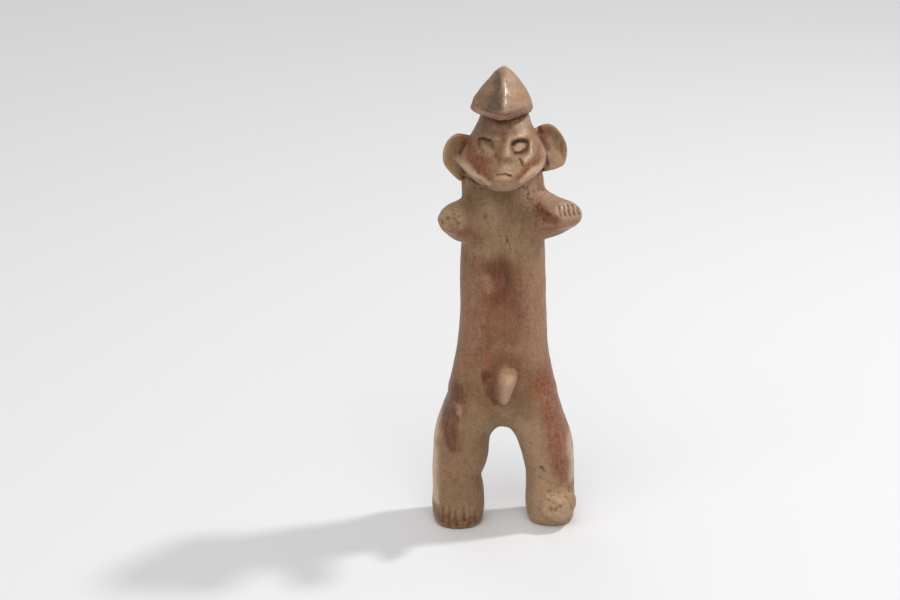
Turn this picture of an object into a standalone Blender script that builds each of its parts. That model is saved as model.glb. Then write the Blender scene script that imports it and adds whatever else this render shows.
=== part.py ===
"""Terracotta fetish figure: a man with a pointed cap, modelled by hand and fired as one piece.

The figure faces -Y and stands on the flat soles of two stump legs at z = 0. The maker rolled a
trunk and two legs, pressed them together, pinched out two stub arms and a head with a pointed
chin, and then stuck on the cap, two plate ears, a lump on one foot and a drop below the belly.
The script follows that order. Masses are lofts through a few rings. They are pressed into one
skin and rubbed smooth, the stuck-on pieces follow with hardly any rubbing, and the face, the
fingers and the toes are cut into the skin last. Left and right are the viewer's.
"""

import math

import bmesh
import bpy
import numpy as np

# The driving size, in metres. All the tables below are shares of it.
HEIGHT = 0.240

# How finely the clay is worked: the grain it is pressed from, how many strokes rub it, and how
# far each stroke moves it towards its surroundings.
BODY_GRAIN = 0.0036 * HEIGHT
BODY_STROKES = 44
FIGURE_GRAIN = 0.0030 * HEIGHT
FIGURE_STROKES = 4
STROKE_PULL = 0.5
SKIN_TRIANGLES = 9300
RING_SIDES = 64
RING_STEPS = 56
BALL_SIDES = 32
BALL_STEPS = 20
CLAY_COLOUR = (0.30, 0.16, 0.10)
CLAY_ROUGHNESS = 0.6

# Upright masses: height, centre x, centre y, half width and half depth of each ring.
TRUNK = (
    (0.218, 0.012, 0.002, 0.010, 0.024),
    (0.230, 0.007, 0.003, 0.040, 0.046),
    (0.255, 0.006, 0.003, 0.082, 0.062),
    (0.288, 0.003, 0.002, 0.114, 0.070),
    (0.323, 0.002, 0.001, 0.109, 0.073),
    (0.391, 0.002, 0.000, 0.096, 0.071),
    (0.472, 0.003, 0.000, 0.090, 0.069),
    (0.551, 0.001, 0.000, 0.089, 0.069),
    (0.625, 0.001, 0.000, 0.086, 0.068),
    (0.690, 0.002, 0.000, 0.082, 0.066),
    (0.735, 0.000, 0.000, 0.084, 0.062),
    (0.770, -0.001, 0.002, 0.083, 0.060),
    (0.803, 0.001, 0.003, 0.072, 0.056),
    (0.840, 0.002, 0.001, 0.054, 0.050),
    (0.866, 0.002, 0.000, 0.036, 0.036),
)
TRUNK_CORNERS = 2.4
LEFT_LEG = (
    (-0.020, -0.086, -0.006, 0.020, 0.026),
    (-0.004, -0.088, -0.008, 0.045, 0.052),
    (0.010, -0.090, -0.009, 0.053, 0.065),
    (0.037, -0.090, -0.007, 0.056, 0.067),
    (0.075, -0.091, -0.003, 0.054, 0.063),
    (0.104, -0.094, 0.000, 0.052, 0.062),
    (0.135, -0.087, 0.000, 0.058, 0.063),
    (0.165, -0.084, 0.000, 0.059, 0.064),
    (0.200, -0.080, 0.001, 0.060, 0.066),
    (0.240, -0.062, 0.001, 0.067, 0.070),
    (0.300, -0.048, 0.001, 0.059, 0.070),
    (0.360, -0.034, 0.001, 0.050, 0.060),
)
RIGHT_LEG = (
    (-0.020, 0.113, 0.002, 0.020, 0.026),
    (-0.004, 0.110, 0.000, 0.044, 0.046),
    (0.010, 0.107, -0.002, 0.051, 0.057),
    (0.037, 0.106, -0.002, 0.052, 0.061),
    (0.087, 0.105, 0.000, 0.051, 0.062),
    (0.125, 0.103, 0.001, 0.053, 0.062),
    (0.165, 0.097, 0.001, 0.057, 0.064),
    (0.200, 0.087, 0.001, 0.060, 0.066),
    (0.240, 0.068, 0.001, 0.065, 0.070),
    (0.300, 0.055, 0.001, 0.059, 0.070),
    (0.360, 0.040, 0.001, 0.050, 0.060),
)
LEG_CORNERS = 2.3
# Head and cap have a sixth column: how far the front of each ring lifts and its back sinks.
HEAD = (
    (0.763, -0.001, -0.062, 0.024, 0.044, 0.004),
    (0.774, -0.001, -0.058, 0.048, 0.070, 0.006),
    (0.788, -0.001, -0.044, 0.070, 0.092, 0.009),
    (0.803, -0.001, -0.023, 0.088, 0.110, 0.011),
    (0.827, 0.002, -0.013, 0.083, 0.105, 0.011),
    (0.849, 0.003, -0.009, 0.072, 0.094, 0.010),
    (0.873, 0.002, -0.004, 0.058, 0.081, 0.009),
    (0.896, 0.003, -0.010, 0.050, 0.068, 0.008),
    (0.925, 0.002, -0.028, 0.045, 0.044, 0.005),
)
HEAD_CORNERS = 2.1
CAP = (
    (0.916, -0.001, -0.038, 0.044, 0.054, 0.001),
    (0.919, -0.003, -0.040, 0.058, 0.066, 0.007),
    (0.924, -0.005, -0.040, 0.067, 0.072, 0.015),
    (0.932, -0.004, -0.039, 0.064, 0.069, 0.015),
    (0.945, -0.004, -0.037, 0.057, 0.061, 0.010),
    (0.959, -0.003, -0.035, 0.050, 0.052, 0.006),
    (0.972, -0.002, -0.032, 0.040, 0.040, 0.003),
    (0.984, -0.001, -0.029, 0.030, 0.029, 0.001),
    (0.994, -0.001, -0.024, 0.018, 0.017, 0.000),
    (1.004, 0.000, -0.022, 0.004, 0.004, 0.000),
)
CAP_CORNERS = 1.3
# What hangs below the belly: a pale drop, and a second lump behind its left side.
DROP = (
    (0.292, 0.003, -0.073, 0.003, 0.010),
    (0.302, 0.003, -0.077, 0.009, 0.030),
    (0.321, 0.003, -0.080, 0.013, 0.039),
    (0.341, 0.004, -0.083, 0.017, 0.043),
    (0.359, 0.005, -0.084, 0.021, 0.046),
    (0.370, 0.006, -0.080, 0.018, 0.036),
    (0.376, 0.006, -0.066, 0.006, 0.012),
)
SIDE_LUMP = (
    (0.286, -0.008, -0.060, 0.003, 0.008),
    (0.300, -0.011, -0.061, 0.010, 0.018),
    (0.324, -0.017, -0.062, 0.016, 0.020),
    (0.346, -0.022, -0.063, 0.014, 0.016),
    (0.358, -0.025, -0.064, 0.005, 0.007),
)

# Stub arms: centre x, y and z, half width across and half height of each ring, shoulder to tip.
LEFT_ARM = (
    (-0.020, 0.010, 0.684, 0.050, 0.056),
    (-0.056, -0.020, 0.681, 0.044, 0.052),
    (-0.082, -0.058, 0.691, 0.037, 0.045),
    (-0.098, -0.094, 0.705, 0.032, 0.035),
    (-0.104, -0.124, 0.715, 0.030, 0.027),
    (-0.106, -0.136, 0.718, 0.022, 0.019),
)
RIGHT_ARM = (
    (0.020, 0.010, 0.694, 0.050, 0.062),
    (0.064, -0.022, 0.694, 0.046, 0.058),
    (0.096, -0.060, 0.701, 0.043, 0.044),
    (0.117, -0.094, 0.714, 0.038, 0.033),
    (0.128, -0.122, 0.724, 0.032, 0.025),
    (0.131, -0.135, 0.728, 0.022, 0.017),
)
SHOULDER_WEB = (0.060, -0.004, 0.712, 0.046, 0.036, 0.030)

# Plate ears: the outline as x and z, then centre x, y and z, and how far the outer edge swings.
LEFT_EAR_OUTLINE = (
    (-0.052, 0.846),
    (-0.075, 0.856),
    (-0.096, 0.860),
    (-0.115, 0.848),
    (-0.126, 0.823),
    (-0.124, 0.798),
    (-0.106, 0.778),
    (-0.084, 0.761),
    (-0.060, 0.776),
    (-0.050, 0.812),
)
LEFT_EAR = (-0.085, 0.002, 0.814, -10)
RIGHT_EAR_OUTLINE = (
    (0.055, 0.852),
    (0.072, 0.873),
    (0.095, 0.880),
    (0.114, 0.864),
    (0.128, 0.838),
    (0.128, 0.811),
    (0.121, 0.795),
    (0.096, 0.786),
    (0.068, 0.790),
    (0.054, 0.824),
)
RIGHT_EAR = (0.088, 0.004, 0.832, 14)
EAR_HALF_THICKNESS = 0.0105
EAR_CUP = 0.020
EAR_RINGS = 13
EAR_END_RING = 0.17

# The rough lump on the right foot: centre x, y and z, then half width, half depth, half height.
FOOT_LUMP = (0.119, -0.040, 0.051, 0.041, 0.041, 0.041)

# What is pinched up, or cut in when negative, from the front. Each stroke runs along a path in
# x and z, and its rise and its reach change evenly from the start of the path to the end.
STROKES = {
    "right_brow": ((0.0050, 0.0075), (0.0065, 0.0075), ((0.009, 0.882), (0.046, 0.883), (0.058, 0.874))),
    "left_brow": ((0.0030, 0.0045), (0.0060, 0.0060), ((-0.056, 0.872), (-0.036, 0.884), (-0.016, 0.884))),
    "nose": ((0.0040, 0.0150), (0.0050, 0.0125), ((0.002, 0.881), (0.002, 0.861), (0.001, 0.848))),
    "under_nose": ((-0.0040, -0.0040), (0.0040, 0.0040), ((-0.009, 0.8345), (0.009, 0.8345))),
    "upper_lip": ((0.0025, 0.0025), (0.0060, 0.0060), ((-0.018, 0.820), (0.000, 0.823), (0.015, 0.820))),
    "mouth": ((-0.0060, -0.0050), (0.0030, 0.0030), ((-0.012, 0.8130), (-0.001, 0.8151), (0.009, 0.8134))),
    "tear_cut": ((-0.0045, -0.0030), (0.0024, 0.0024), ((0.0285, 0.8463), (0.0377, 0.8279))),
    "left_jaw": ((0.0060, 0.0030), (0.0090, 0.0080), ((-0.086, 0.810), (-0.056, 0.798), (-0.036, 0.788))),
    "right_jaw": ((0.0060, 0.0030), (0.0090, 0.0080), ((0.083, 0.810), (0.050, 0.800), (0.034, 0.791))),
    "left_hollow": ((-0.002, -0.004), (0.008, 0.008), ((-0.074, 0.824), (-0.046, 0.812), (-0.028, 0.802))),
    "right_hollow": ((-0.0020, -0.0040), (0.0080, 0.0080), ((0.070, 0.825), (0.044, 0.813), (0.028, 0.802))),
    "left_crease": ((-0.005, -0.007), (0.004, 0.0045), ((-0.080, 0.770), (-0.056, 0.772), (-0.036, 0.778))),
    "right_crease": ((-0.0070, -0.0050), (0.0045, 0.0040), ((0.036, 0.778), (0.054, 0.780), (0.080, 0.786))),
    "left_thigh": ((0.0020, 0.0030), (0.0100, 0.0150), ((-0.112, 0.290), (-0.094, 0.270), (-0.088, 0.240))),
}
# Round marks: rise, middle x and z, half width, half height and how crisp the edge is.
SPOTS = {
    "right_socket": (-0.0200, 0.0310, 0.8634, 0.0190, 0.0130, 4),
    "left_socket": (-0.0180, -0.0385, 0.8629, 0.0180, 0.0130, 4),
    "right_eyeball": (0.0200, 0.0275, 0.8601, 0.0120, 0.0085, 3),
    "left_eyeball": (0.0175, -0.0345, 0.8593, 0.0120, 0.0085, 3),
    "right_palm": (-0.0100, 0.0780, 0.7200, 0.0180, 0.0150, 3),
    "right_cheek": (0.0050, 0.0600, 0.8420, 0.0180, 0.0220, 2),
    "left_cheek": (0.0040, -0.0620, 0.8375, 0.0180, 0.0200, 2),
    "muzzle": (0.0050, 0.0000, 0.8139, 0.0260, 0.0200, 2),
}
# Rows of short cuts: the first and the last, top to bottom, then rise and reach as above.
FINGERS = 5
FINGER_FROM = ((0.1060, 0.746), (0.1130, 0.720))
FINGER_TO = ((0.1450, 0.743), (0.1510, 0.717))
FINGER_CUT = ((-0.0050, -0.0030), (0.0026, 0.0022))
TOES = 6
TOE_FROM = ((-0.1250, 0.038), (-0.1200, 0.012))
TOE_TO = ((-0.0560, 0.036), (-0.0560, 0.008))
TOE_CUT = ((-0.0020, -0.0050), (0.0026, 0.0034))
# The pits in the end of the left hand, in x and z, and how deep and how wide each one is.
HAND_PITS = (
    (-0.124, 0.727),
    (-0.112, 0.731),
    (-0.106, 0.720),
    (-0.099, 0.737),
    (-0.085, 0.715),
    (-0.094, 0.706),
)
PIT_DEPTH = 0.0035
PIT_REACH = 0.0036
# The carving is full where the skin faces the viewer, and fades out where it turns this far away.
FACING_GAIN = 2.0


def shade(name, colour, roughness):
    """A fired clay material, in the object's own colour."""
    material = bpy.data.materials.new(name)
    material.use_nodes = True
    shader = material.node_tree.nodes["Principled BSDF"]
    shader.inputs["Base Color"].default_value = (*colour, 1)
    shader.inputs["Roughness"].default_value = roughness
    shader.inputs["Metallic"].default_value = 0
    return material


def between(a, b, c, d, t):
    """A Catmull-Rom curve: the share t of the way from b to c, with a before and d after them."""
    return b + 0.5 * t * (c - a + t * (2 * a - 5 * b + 4 * c - d + t * (3 * (b - c) + d - a)))


def smooth_rows(rows, count):
    """A smooth curve through the rows of a table, read at count even steps, in metres."""
    rows = np.array(rows) * HEIGHT
    rows = np.vstack([2 * rows[0] - rows[1], rows, 2 * rows[-1] - rows[-2]])
    place = np.linspace(0, len(rows) - 3, count)
    first = np.minimum(place.astype(int), len(rows) - 4)
    return between(*(rows[first + k] for k in range(4)), (place - first)[:, None])


def closed_curve(corners, count):
    """A smooth closed curve through a few corners, read at count even steps, in metres."""
    loop = np.array(corners) * HEIGHT
    place = np.arange(count) * len(loop) / count
    first = place.astype(int)
    ring = (loop[(first + k) % len(loop)] for k in (-1, 0, 1, 2))
    return between(*ring, (place - first)[:, None])


def ring_directions(corners):
    """Cosine and sine round a superellipse: 2 is an ellipse, and towards 1 it becomes a diamond."""
    angle = np.arange(RING_SIDES) * 2 * math.pi / RING_SIDES
    cosine, sine = np.cos(angle), np.sin(angle)
    power = 2 / corners
    return np.sign(cosine) * abs(cosine) ** power, np.sign(sine) * abs(sine) ** power


def placed(name, shape):
    """Turns a bmesh into an object of the scene."""
    mesh = bpy.data.meshes.new(name)
    shape.to_mesh(mesh)
    shape.free()
    made = bpy.data.objects.new(name, mesh)
    bpy.context.scene.collection.objects.link(made)
    return made


def skinned(name, points):
    """A closed solid from a grid of points: its rows are rings, and the end rings are filled."""
    shape = bmesh.new()
    rings = [[shape.verts.new(point) for point in ring] for ring in points]
    for low, high in zip(rings, rings[1:]):
        for side in range(len(low)):
            turn = (side + 1) % len(low)
            shape.faces.new((low[side], low[turn], high[turn], high[side]))
    shape.faces.new(rings[0][::-1])
    shape.faces.new(rings[-1])
    bmesh.ops.recalc_face_normals(shape, faces=shape.faces)
    return placed(name, shape)


def loft(name, centres, across, along, corners):
    """A closed solid through rings: each ring is centre + across * cosine + along * sine."""
    cosine, sine = ring_directions(corners)
    points = centres[:, None] + across[:, None] * cosine[:, None] + along[:, None] * sine[:, None]
    return skinned(name, points)


def upright(name, rows, corners=2.0):
    """A loft up the height of the figure. A sixth column lifts the front of a ring."""
    height, x, y, half_width, half_depth, *more = smooth_rows(rows, RING_STEPS).T
    none = np.zeros_like(height)
    lift = more[0] if more else none
    centres = np.stack([x, y, height], 1)
    across = np.stack([half_width, none, none], 1)
    along = np.stack([none, half_depth, -lift], 1)
    return loft(name, centres, across, along, corners)


def stub_arm(name, rows):
    """A loft along the arm's own line, with its rings square to that line."""
    x, y, z, half_across, half_up = smooth_rows(rows, RING_STEPS).T
    centres = np.stack([x, y, z], 1)
    line = np.gradient(centres, axis=0)
    line /= np.linalg.norm(line, axis=1)[:, None]
    level = np.cross(line, (0, 0, 1))
    level /= np.linalg.norm(level, axis=1)[:, None]
    rise = np.cross(level, line)
    return loft(name, centres, level * half_across[:, None], rise * half_up[:, None], 2.0)


def ball(name, shares):
    """A lump of clay rolled to an egg shape."""
    x, y, z, half_width, half_depth, half_height = (share * HEIGHT for share in shares)
    shape = bmesh.new()
    bmesh.ops.create_uvsphere(shape, u_segments=BALL_SIDES, v_segments=BALL_STEPS, radius=1)
    bmesh.ops.scale(shape, vec=(half_width, half_depth, half_height), verts=shape.verts)
    bmesh.ops.translate(shape, vec=(x, y, z), verts=shape.verts)
    return placed(name, shape)


def plate_ear(name, outline, seat):
    """A thin plate with the given outline, dished towards the front and swung about its middle."""
    x, y, z = (share * HEIGHT for share in seat[:3])
    swing = math.tan(math.radians(seat[3]))
    edge = closed_curve(outline, RING_SIDES) - (x, z)
    reach = np.linalg.norm(edge, axis=1).max()
    layer = np.linspace(-1, 1, EAR_RINGS)
    spread = np.sqrt(np.clip(1 - layer**4, EAR_END_RING**2, 1))[:, None, None] * edge
    dish = EAR_CUP * HEIGHT * (spread**2).sum(2) / reach**2
    depth = EAR_HALF_THICKNESS * HEIGHT * layer[:, None] - dish
    across, up = spread[:, :, 0], spread[:, :, 1]
    return skinned(name, np.stack([across + x, depth - across * swing + y, up + z], 2))


def baked(shape):
    """Makes an object's modifiers permanent."""
    graph = bpy.context.evaluated_depsgraph_get()
    mesh = bpy.data.meshes.new_from_object(shape.evaluated_get(graph))
    shape.modifiers.clear()
    shape.data = mesh
    return shape


def pressed(name, masses, grain, strokes):
    """Presses overlapping masses into one skin of clay, and rubs it smooth with so many strokes."""
    shape = bmesh.new()
    for mass in masses:
        shape.from_mesh(mass.data)
        bpy.data.objects.remove(mass)
    clay = placed(name, shape)
    press = clay.modifiers.new("press together", "REMESH")
    press.mode = "VOXEL"
    press.voxel_size = grain
    rub = clay.modifiers.new("rub smooth", "SMOOTH")
    rub.factor = STROKE_PULL
    rub.iterations = strokes
    return baked(clay)


def stroke(x, z, rises, reaches, path):
    """The rise a tool or a finger leaves along a path of straight runs, seen from the front."""
    nearest = np.full_like(x, np.inf)
    place = np.zeros_like(x)
    for run, ((ax, az), (bx, bz)) in enumerate(zip(path, path[1:])):
        run_x, run_z = bx - ax, bz - az
        along = np.clip(((x - ax) * run_x + (z - az) * run_z) / (run_x**2 + run_z**2), 0, 1)
        away = np.hypot(x - ax - along * run_x, z - az - along * run_z)
        place = np.where(away < nearest, (run + along) / (len(path) - 1), place)
        nearest = np.minimum(nearest, away)
    rise = rises[0] + (rises[1] - rises[0]) * place
    reach = reaches[0] + (reaches[1] - reaches[0]) * place
    return rise * np.exp(-((nearest / reach) ** 2))


def row_of_cuts(first, last, count):
    """Short straight cuts side by side, from the first to the last."""
    first, last = np.array(first), np.array(last)
    return [first + (last - first) * k / (count - 1) for k in range(count)]


def carved(points, normals):
    """Pulls the front of the clay towards the viewer or pushes it in, following the tables."""
    x, z = points[:, 0] / HEIGHT, points[:, 2] / HEIGHT
    rise = np.zeros_like(x)
    for rises, reaches, path in STROKES.values():
        rise += stroke(x, z, rises, reaches, path)
    for height, middle_x, middle_z, half_width, half_height, crispness in SPOTS.values():
        away = np.hypot((x - middle_x) / half_width, (z - middle_z) / half_height)
        rise += height * np.exp(-(away**crispness))
    for cut in row_of_cuts(FINGER_FROM, FINGER_TO, FINGERS):
        rise += stroke(x, z, *FINGER_CUT, cut)
    for cut in row_of_cuts(TOE_FROM, TOE_TO, TOES):
        rise += stroke(x, z, *TOE_CUT, cut)
    for pit_x, pit_z in HAND_PITS:
        rise -= PIT_DEPTH * np.exp(-((x - pit_x) ** 2 + (z - pit_z) ** 2) / PIT_REACH**2)
    facing = np.clip(-FACING_GAIN * normals[:, 1], 0, 1)
    moved = points.copy()
    moved[:, 1] -= rise * facing * HEIGHT
    return moved


def carve(clay):
    """Applies the carving to the skin."""
    count = len(clay.data.vertices)
    points, normals = np.empty(3 * count), np.empty(3 * count)
    clay.data.vertices.foreach_get("co", points)
    clay.data.vertex_normals.foreach_get("vector", normals)
    moved = carved(points.reshape(-1, 3), normals.reshape(-1, 3))
    clay.data.vertices.foreach_set("co", moved.ravel())
    clay.data.update()


def thin_out(clay):
    """Leaves the skin as few triangles as hold its form."""
    count = sum(len(face.vertices) - 2 for face in clay.data.polygons)
    fewer = clay.modifiers.new("fewer faces", "DECIMATE")
    fewer.ratio = SKIN_TRIANGLES / count
    return baked(clay)


def set_down(clay):
    """Cuts the soles flat, gives the figure its height and stands it in the middle of z = 0."""
    shape = bmesh.new()
    shape.from_mesh(clay.data)
    bmesh.ops.bisect_plane(
        shape,
        geom=shape.verts[:] + shape.edges[:] + shape.faces[:],
        plane_co=(0, 0, 0),
        plane_no=(0, 0, 1),
        clear_inner=True,
    )
    rims = [edge for edge in shape.edges if edge.is_boundary]
    bmesh.ops.holes_fill(shape, edges=rims, sides=0)
    points = np.array([vertex.co for vertex in shape.verts])
    low, high = points.min(0), points.max(0)
    middle = (low + high) / 2
    bmesh.ops.translate(shape, vec=(-middle[0], -middle[1], -low[2]), verts=shape.verts)
    bmesh.ops.scale(shape, vec=[HEIGHT / (high[2] - low[2])] * 3, verts=shape.verts)
    bmesh.ops.recalc_face_normals(shape, faces=shape.faces)
    shape.to_mesh(clay.data)
    shape.free()


def main():
    for old in list(bpy.data.objects):
        bpy.data.objects.remove(old)
    body = pressed(
        "body",
        [
            upright("trunk", TRUNK, TRUNK_CORNERS),
            upright("left_leg", LEFT_LEG, LEG_CORNERS),
            upright("right_leg", RIGHT_LEG, LEG_CORNERS),
            stub_arm("left_arm", LEFT_ARM),
            stub_arm("right_arm", RIGHT_ARM),
            ball("shoulder_web", SHOULDER_WEB),
        ],
        BODY_GRAIN,
        BODY_STROKES,
    )
    figure = pressed(
        "fetish_figure",
        [
            body,
            upright("head", HEAD, HEAD_CORNERS),
            upright("cap", CAP, CAP_CORNERS),
            plate_ear("left_ear", LEFT_EAR_OUTLINE, LEFT_EAR),
            plate_ear("right_ear", RIGHT_EAR_OUTLINE, RIGHT_EAR),
            ball("foot_lump", FOOT_LUMP),
            upright("drop", DROP),
            upright("side_lump", SIDE_LUMP),
        ],
        FIGURE_GRAIN,
        FIGURE_STROKES,
    )
    carve(figure)
    thin_out(figure)
    set_down(figure)
    figure.data.materials.append(shade("terracotta", CLAY_COLOUR, CLAY_ROUGHNESS))
    figure.data.shade_smooth()


main()
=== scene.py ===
"""The finish of a terracotta fetish figure: its worked skin, its worn slip and its table.

Registered as an add-on's classes and run as a script. The figure faces -Y, left and right are the
viewer's, and every table below is in shares of the figure's height.
"""

import math

import bmesh
import bpy
import numpy as np
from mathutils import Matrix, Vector


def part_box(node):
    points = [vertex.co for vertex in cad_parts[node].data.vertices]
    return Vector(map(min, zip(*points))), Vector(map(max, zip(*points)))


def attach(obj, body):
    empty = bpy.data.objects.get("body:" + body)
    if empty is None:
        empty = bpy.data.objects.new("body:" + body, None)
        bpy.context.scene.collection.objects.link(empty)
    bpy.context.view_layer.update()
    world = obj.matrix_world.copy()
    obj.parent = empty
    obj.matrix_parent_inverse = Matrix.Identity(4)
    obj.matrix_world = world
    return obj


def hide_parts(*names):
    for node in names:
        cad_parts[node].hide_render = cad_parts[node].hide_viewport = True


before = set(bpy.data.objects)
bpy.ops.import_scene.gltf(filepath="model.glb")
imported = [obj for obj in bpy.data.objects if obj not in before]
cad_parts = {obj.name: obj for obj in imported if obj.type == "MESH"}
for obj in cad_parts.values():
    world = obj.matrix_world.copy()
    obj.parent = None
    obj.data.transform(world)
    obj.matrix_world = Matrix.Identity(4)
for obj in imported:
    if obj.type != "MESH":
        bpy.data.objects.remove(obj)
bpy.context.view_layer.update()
CAD_LOW, CAD_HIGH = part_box("fetish_figure")

bl_info = {
    "name": "Fetish figure",
    "version": (1, 0, 0),
    "blender": (4, 5, 0),
    "location": "3D View > Sidebar > Figure",
    "description": "Works a terracotta figure, gives it its worn slip and sets it under a lamp",
    "category": "Object",
}

HEIGHT = CAD_HIGH[2] - CAD_LOW[2]
MM = 0.001

# Upright masses: height, centre x, centre y, half width and half depth of each ring.
TRUNK = (
    (0.218, 0.012, 0.002, 0.01, 0.024),
    (0.23, 0.007, 0.003, 0.04, 0.046),
    (0.255, 0.006, 0.003, 0.082, 0.062),
    (0.288, 0.003, 0.002, 0.114, 0.07),
    (0.323, 0.002, 0.001, 0.109, 0.073),
    (0.391, 0.002, 0, 0.096, 0.071),
    (0.472, 0.003, 0, 0.09, 0.069),
    (0.551, 0.001, 0, 0.089, 0.069),
    (0.625, 0.001, 0, 0.086, 0.068),
    (0.69, 0.002, 0, 0.082, 0.066),
    (0.735, 0, 0, 0.084, 0.062),
    (0.77, -0.001, 0.002, 0.083, 0.06),
    (0.803, 0.001, 0.003, 0.072, 0.056),
    (0.84, 0.002, 0.001, 0.054, 0.05),
    (0.866, 0.002, 0, 0.036, 0.036),
)
TRUNK_CORNERS = 2.4
LEFT_LEG = (
    (-0.02, -0.086, -0.006, 0.02, 0.026),
    (-0.004, -0.088, -0.008, 0.045, 0.052),
    (0.01, -0.09, -0.009, 0.053, 0.065),
    (0.037, -0.09, -0.007, 0.056, 0.067),
    (0.075, -0.091, -0.003, 0.054, 0.063),
    (0.104, -0.094, 0, 0.052, 0.062),
    (0.135, -0.087, 0, 0.058, 0.063),
    (0.165, -0.084, 0, 0.059, 0.064),
    (0.2, -0.08, 0.001, 0.06, 0.066),
    (0.24, -0.062, 0.001, 0.067, 0.07),
    (0.3, -0.048, 0.001, 0.059, 0.07),
    (0.36, -0.034, 0.001, 0.05, 0.06),
)
RIGHT_LEG = (
    (-0.02, 0.113, 0.002, 0.02, 0.026),
    (-0.004, 0.11, 0, 0.044, 0.046),
    (0.01, 0.107, -0.002, 0.051, 0.057),
    (0.037, 0.106, -0.002, 0.052, 0.061),
    (0.087, 0.105, 0, 0.051, 0.062),
    (0.125, 0.103, 0.001, 0.053, 0.062),
    (0.165, 0.097, 0.001, 0.057, 0.064),
    (0.2, 0.087, 0.001, 0.06, 0.066),
    (0.24, 0.068, 0.001, 0.065, 0.07),
    (0.3, 0.055, 0.001, 0.059, 0.07),
    (0.36, 0.04, 0.001, 0.05, 0.06),
)
LEG_CORNERS = 2.3
# Head and cap have a sixth column: how far the front of each ring lifts and its back sinks.
HEAD = (
    (0.763, -0.001, -0.062, 0.024, 0.044, 0.004),
    (0.774, -0.001, -0.058, 0.048, 0.07, 0.006),
    (0.788, -0.001, -0.044, 0.07, 0.092, 0.009),
    (0.803, -0.001, -0.023, 0.088, 0.11, 0.011),
    (0.827, 0.002, -0.013, 0.083, 0.105, 0.011),
    (0.849, 0.003, -0.009, 0.072, 0.094, 0.01),
    (0.873, 0.002, -0.004, 0.058, 0.081, 0.009),
    (0.896, 0.003, -0.01, 0.05, 0.068, 0.008),
    (0.925, 0.002, -0.028, 0.045, 0.044, 0.005),
)
HEAD_CORNERS = 2.1
CAP = (
    (0.908, -0.001, -0.039, 0.04, 0.05, -0.001),
    (0.913, -0.003, -0.041, 0.056, 0.065, 0.003),
    (0.921, -0.005, -0.04, 0.067, 0.073, 0.01),
    (0.932, -0.004, -0.039, 0.064, 0.069, 0.013),
    (0.945, -0.004, -0.037, 0.057, 0.061, 0.01),
    (0.959, -0.002, -0.035, 0.048, 0.05, 0.006),
    (0.972, -0.001, -0.032, 0.037, 0.038, 0.003),
    (0.984, 0, -0.029, 0.027, 0.027, 0.001),
    (0.994, -0.001, -0.024, 0.018, 0.017, 0),
    (1.004, 0, -0.022, 0.004, 0.004, 0),
)
CAP_CORNERS = 1.3
DROP = (
    (0.292, 0.003, -0.073, 0.003, 0.01),
    (0.302, 0.004, -0.077, 0.009, 0.03),
    (0.321, 0.006, -0.08, 0.013, 0.039),
    (0.341, 0.008, -0.083, 0.018, 0.043),
    (0.359, 0.01, -0.084, 0.022, 0.046),
    (0.37, 0.01, -0.08, 0.018, 0.036),
    (0.376, 0.01, -0.066, 0.006, 0.012),
)
SIDE_LUMP = (
    (0.286, -0.008, -0.06, 0.003, 0.008),
    (0.3, -0.011, -0.061, 0.01, 0.018),
    (0.324, -0.017, -0.062, 0.016, 0.02),
    (0.346, -0.022, -0.063, 0.014, 0.016),
    (0.358, -0.025, -0.064, 0.005, 0.007),
)

# Stub arms: centre x, y and z, half width across and half height of each ring, shoulder to tip.
LEFT_ARM = (
    (-0.02, 0.01, 0.684, 0.05, 0.056),
    (-0.056, -0.02, 0.681, 0.044, 0.052),
    (-0.082, -0.058, 0.691, 0.037, 0.045),
    (-0.098, -0.094, 0.705, 0.032, 0.035),
    (-0.104, -0.124, 0.715, 0.03, 0.027),
    (-0.106, -0.136, 0.718, 0.022, 0.019),
)
RIGHT_ARM = (
    (0.02, 0.01, 0.694, 0.05, 0.062),
    (0.064, -0.022, 0.694, 0.046, 0.058),
    (0.096, -0.06, 0.701, 0.043, 0.044),
    (0.117, -0.094, 0.714, 0.038, 0.033),
    (0.128, -0.122, 0.724, 0.032, 0.025),
    (0.131, -0.135, 0.728, 0.022, 0.017),
)
# Lumps: centre x, y and z, then half width, half depth and half height.
SHOULDER_WEB = (0.06, -0.004, 0.712, 0.046, 0.036, 0.03)
FOOT_LUMP = (0.119, -0.04, 0.051, 0.041, 0.041, 0.041)

# Plate ears: the outline as x and z, then centre x, y and z, and how far the outer edge swings.
LEFT_EAR_OUTLINE = (
    (-0.052, 0.846), (-0.075, 0.856), (-0.096, 0.86), (-0.112, 0.848), (-0.121, 0.823),
    (-0.12, 0.798), (-0.106, 0.778), (-0.084, 0.761), (-0.06, 0.776), (-0.05, 0.812),
)
LEFT_EAR = (-0.085, 0.002, 0.814, -10)
RIGHT_EAR_OUTLINE = (
    (0.055, 0.852), (0.072, 0.873), (0.095, 0.88), (0.114, 0.864), (0.128, 0.838),
    (0.128, 0.811), (0.121, 0.795), (0.096, 0.783), (0.07, 0.782), (0.054, 0.824),
)
RIGHT_EAR = (0.088, 0.004, 0.832, 14)
EAR_HALF_THICKNESS = 0.0105
EAR_CUP = 0.02
EAR_RINGS = 17
EAR_END_RING = 0.17

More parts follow.
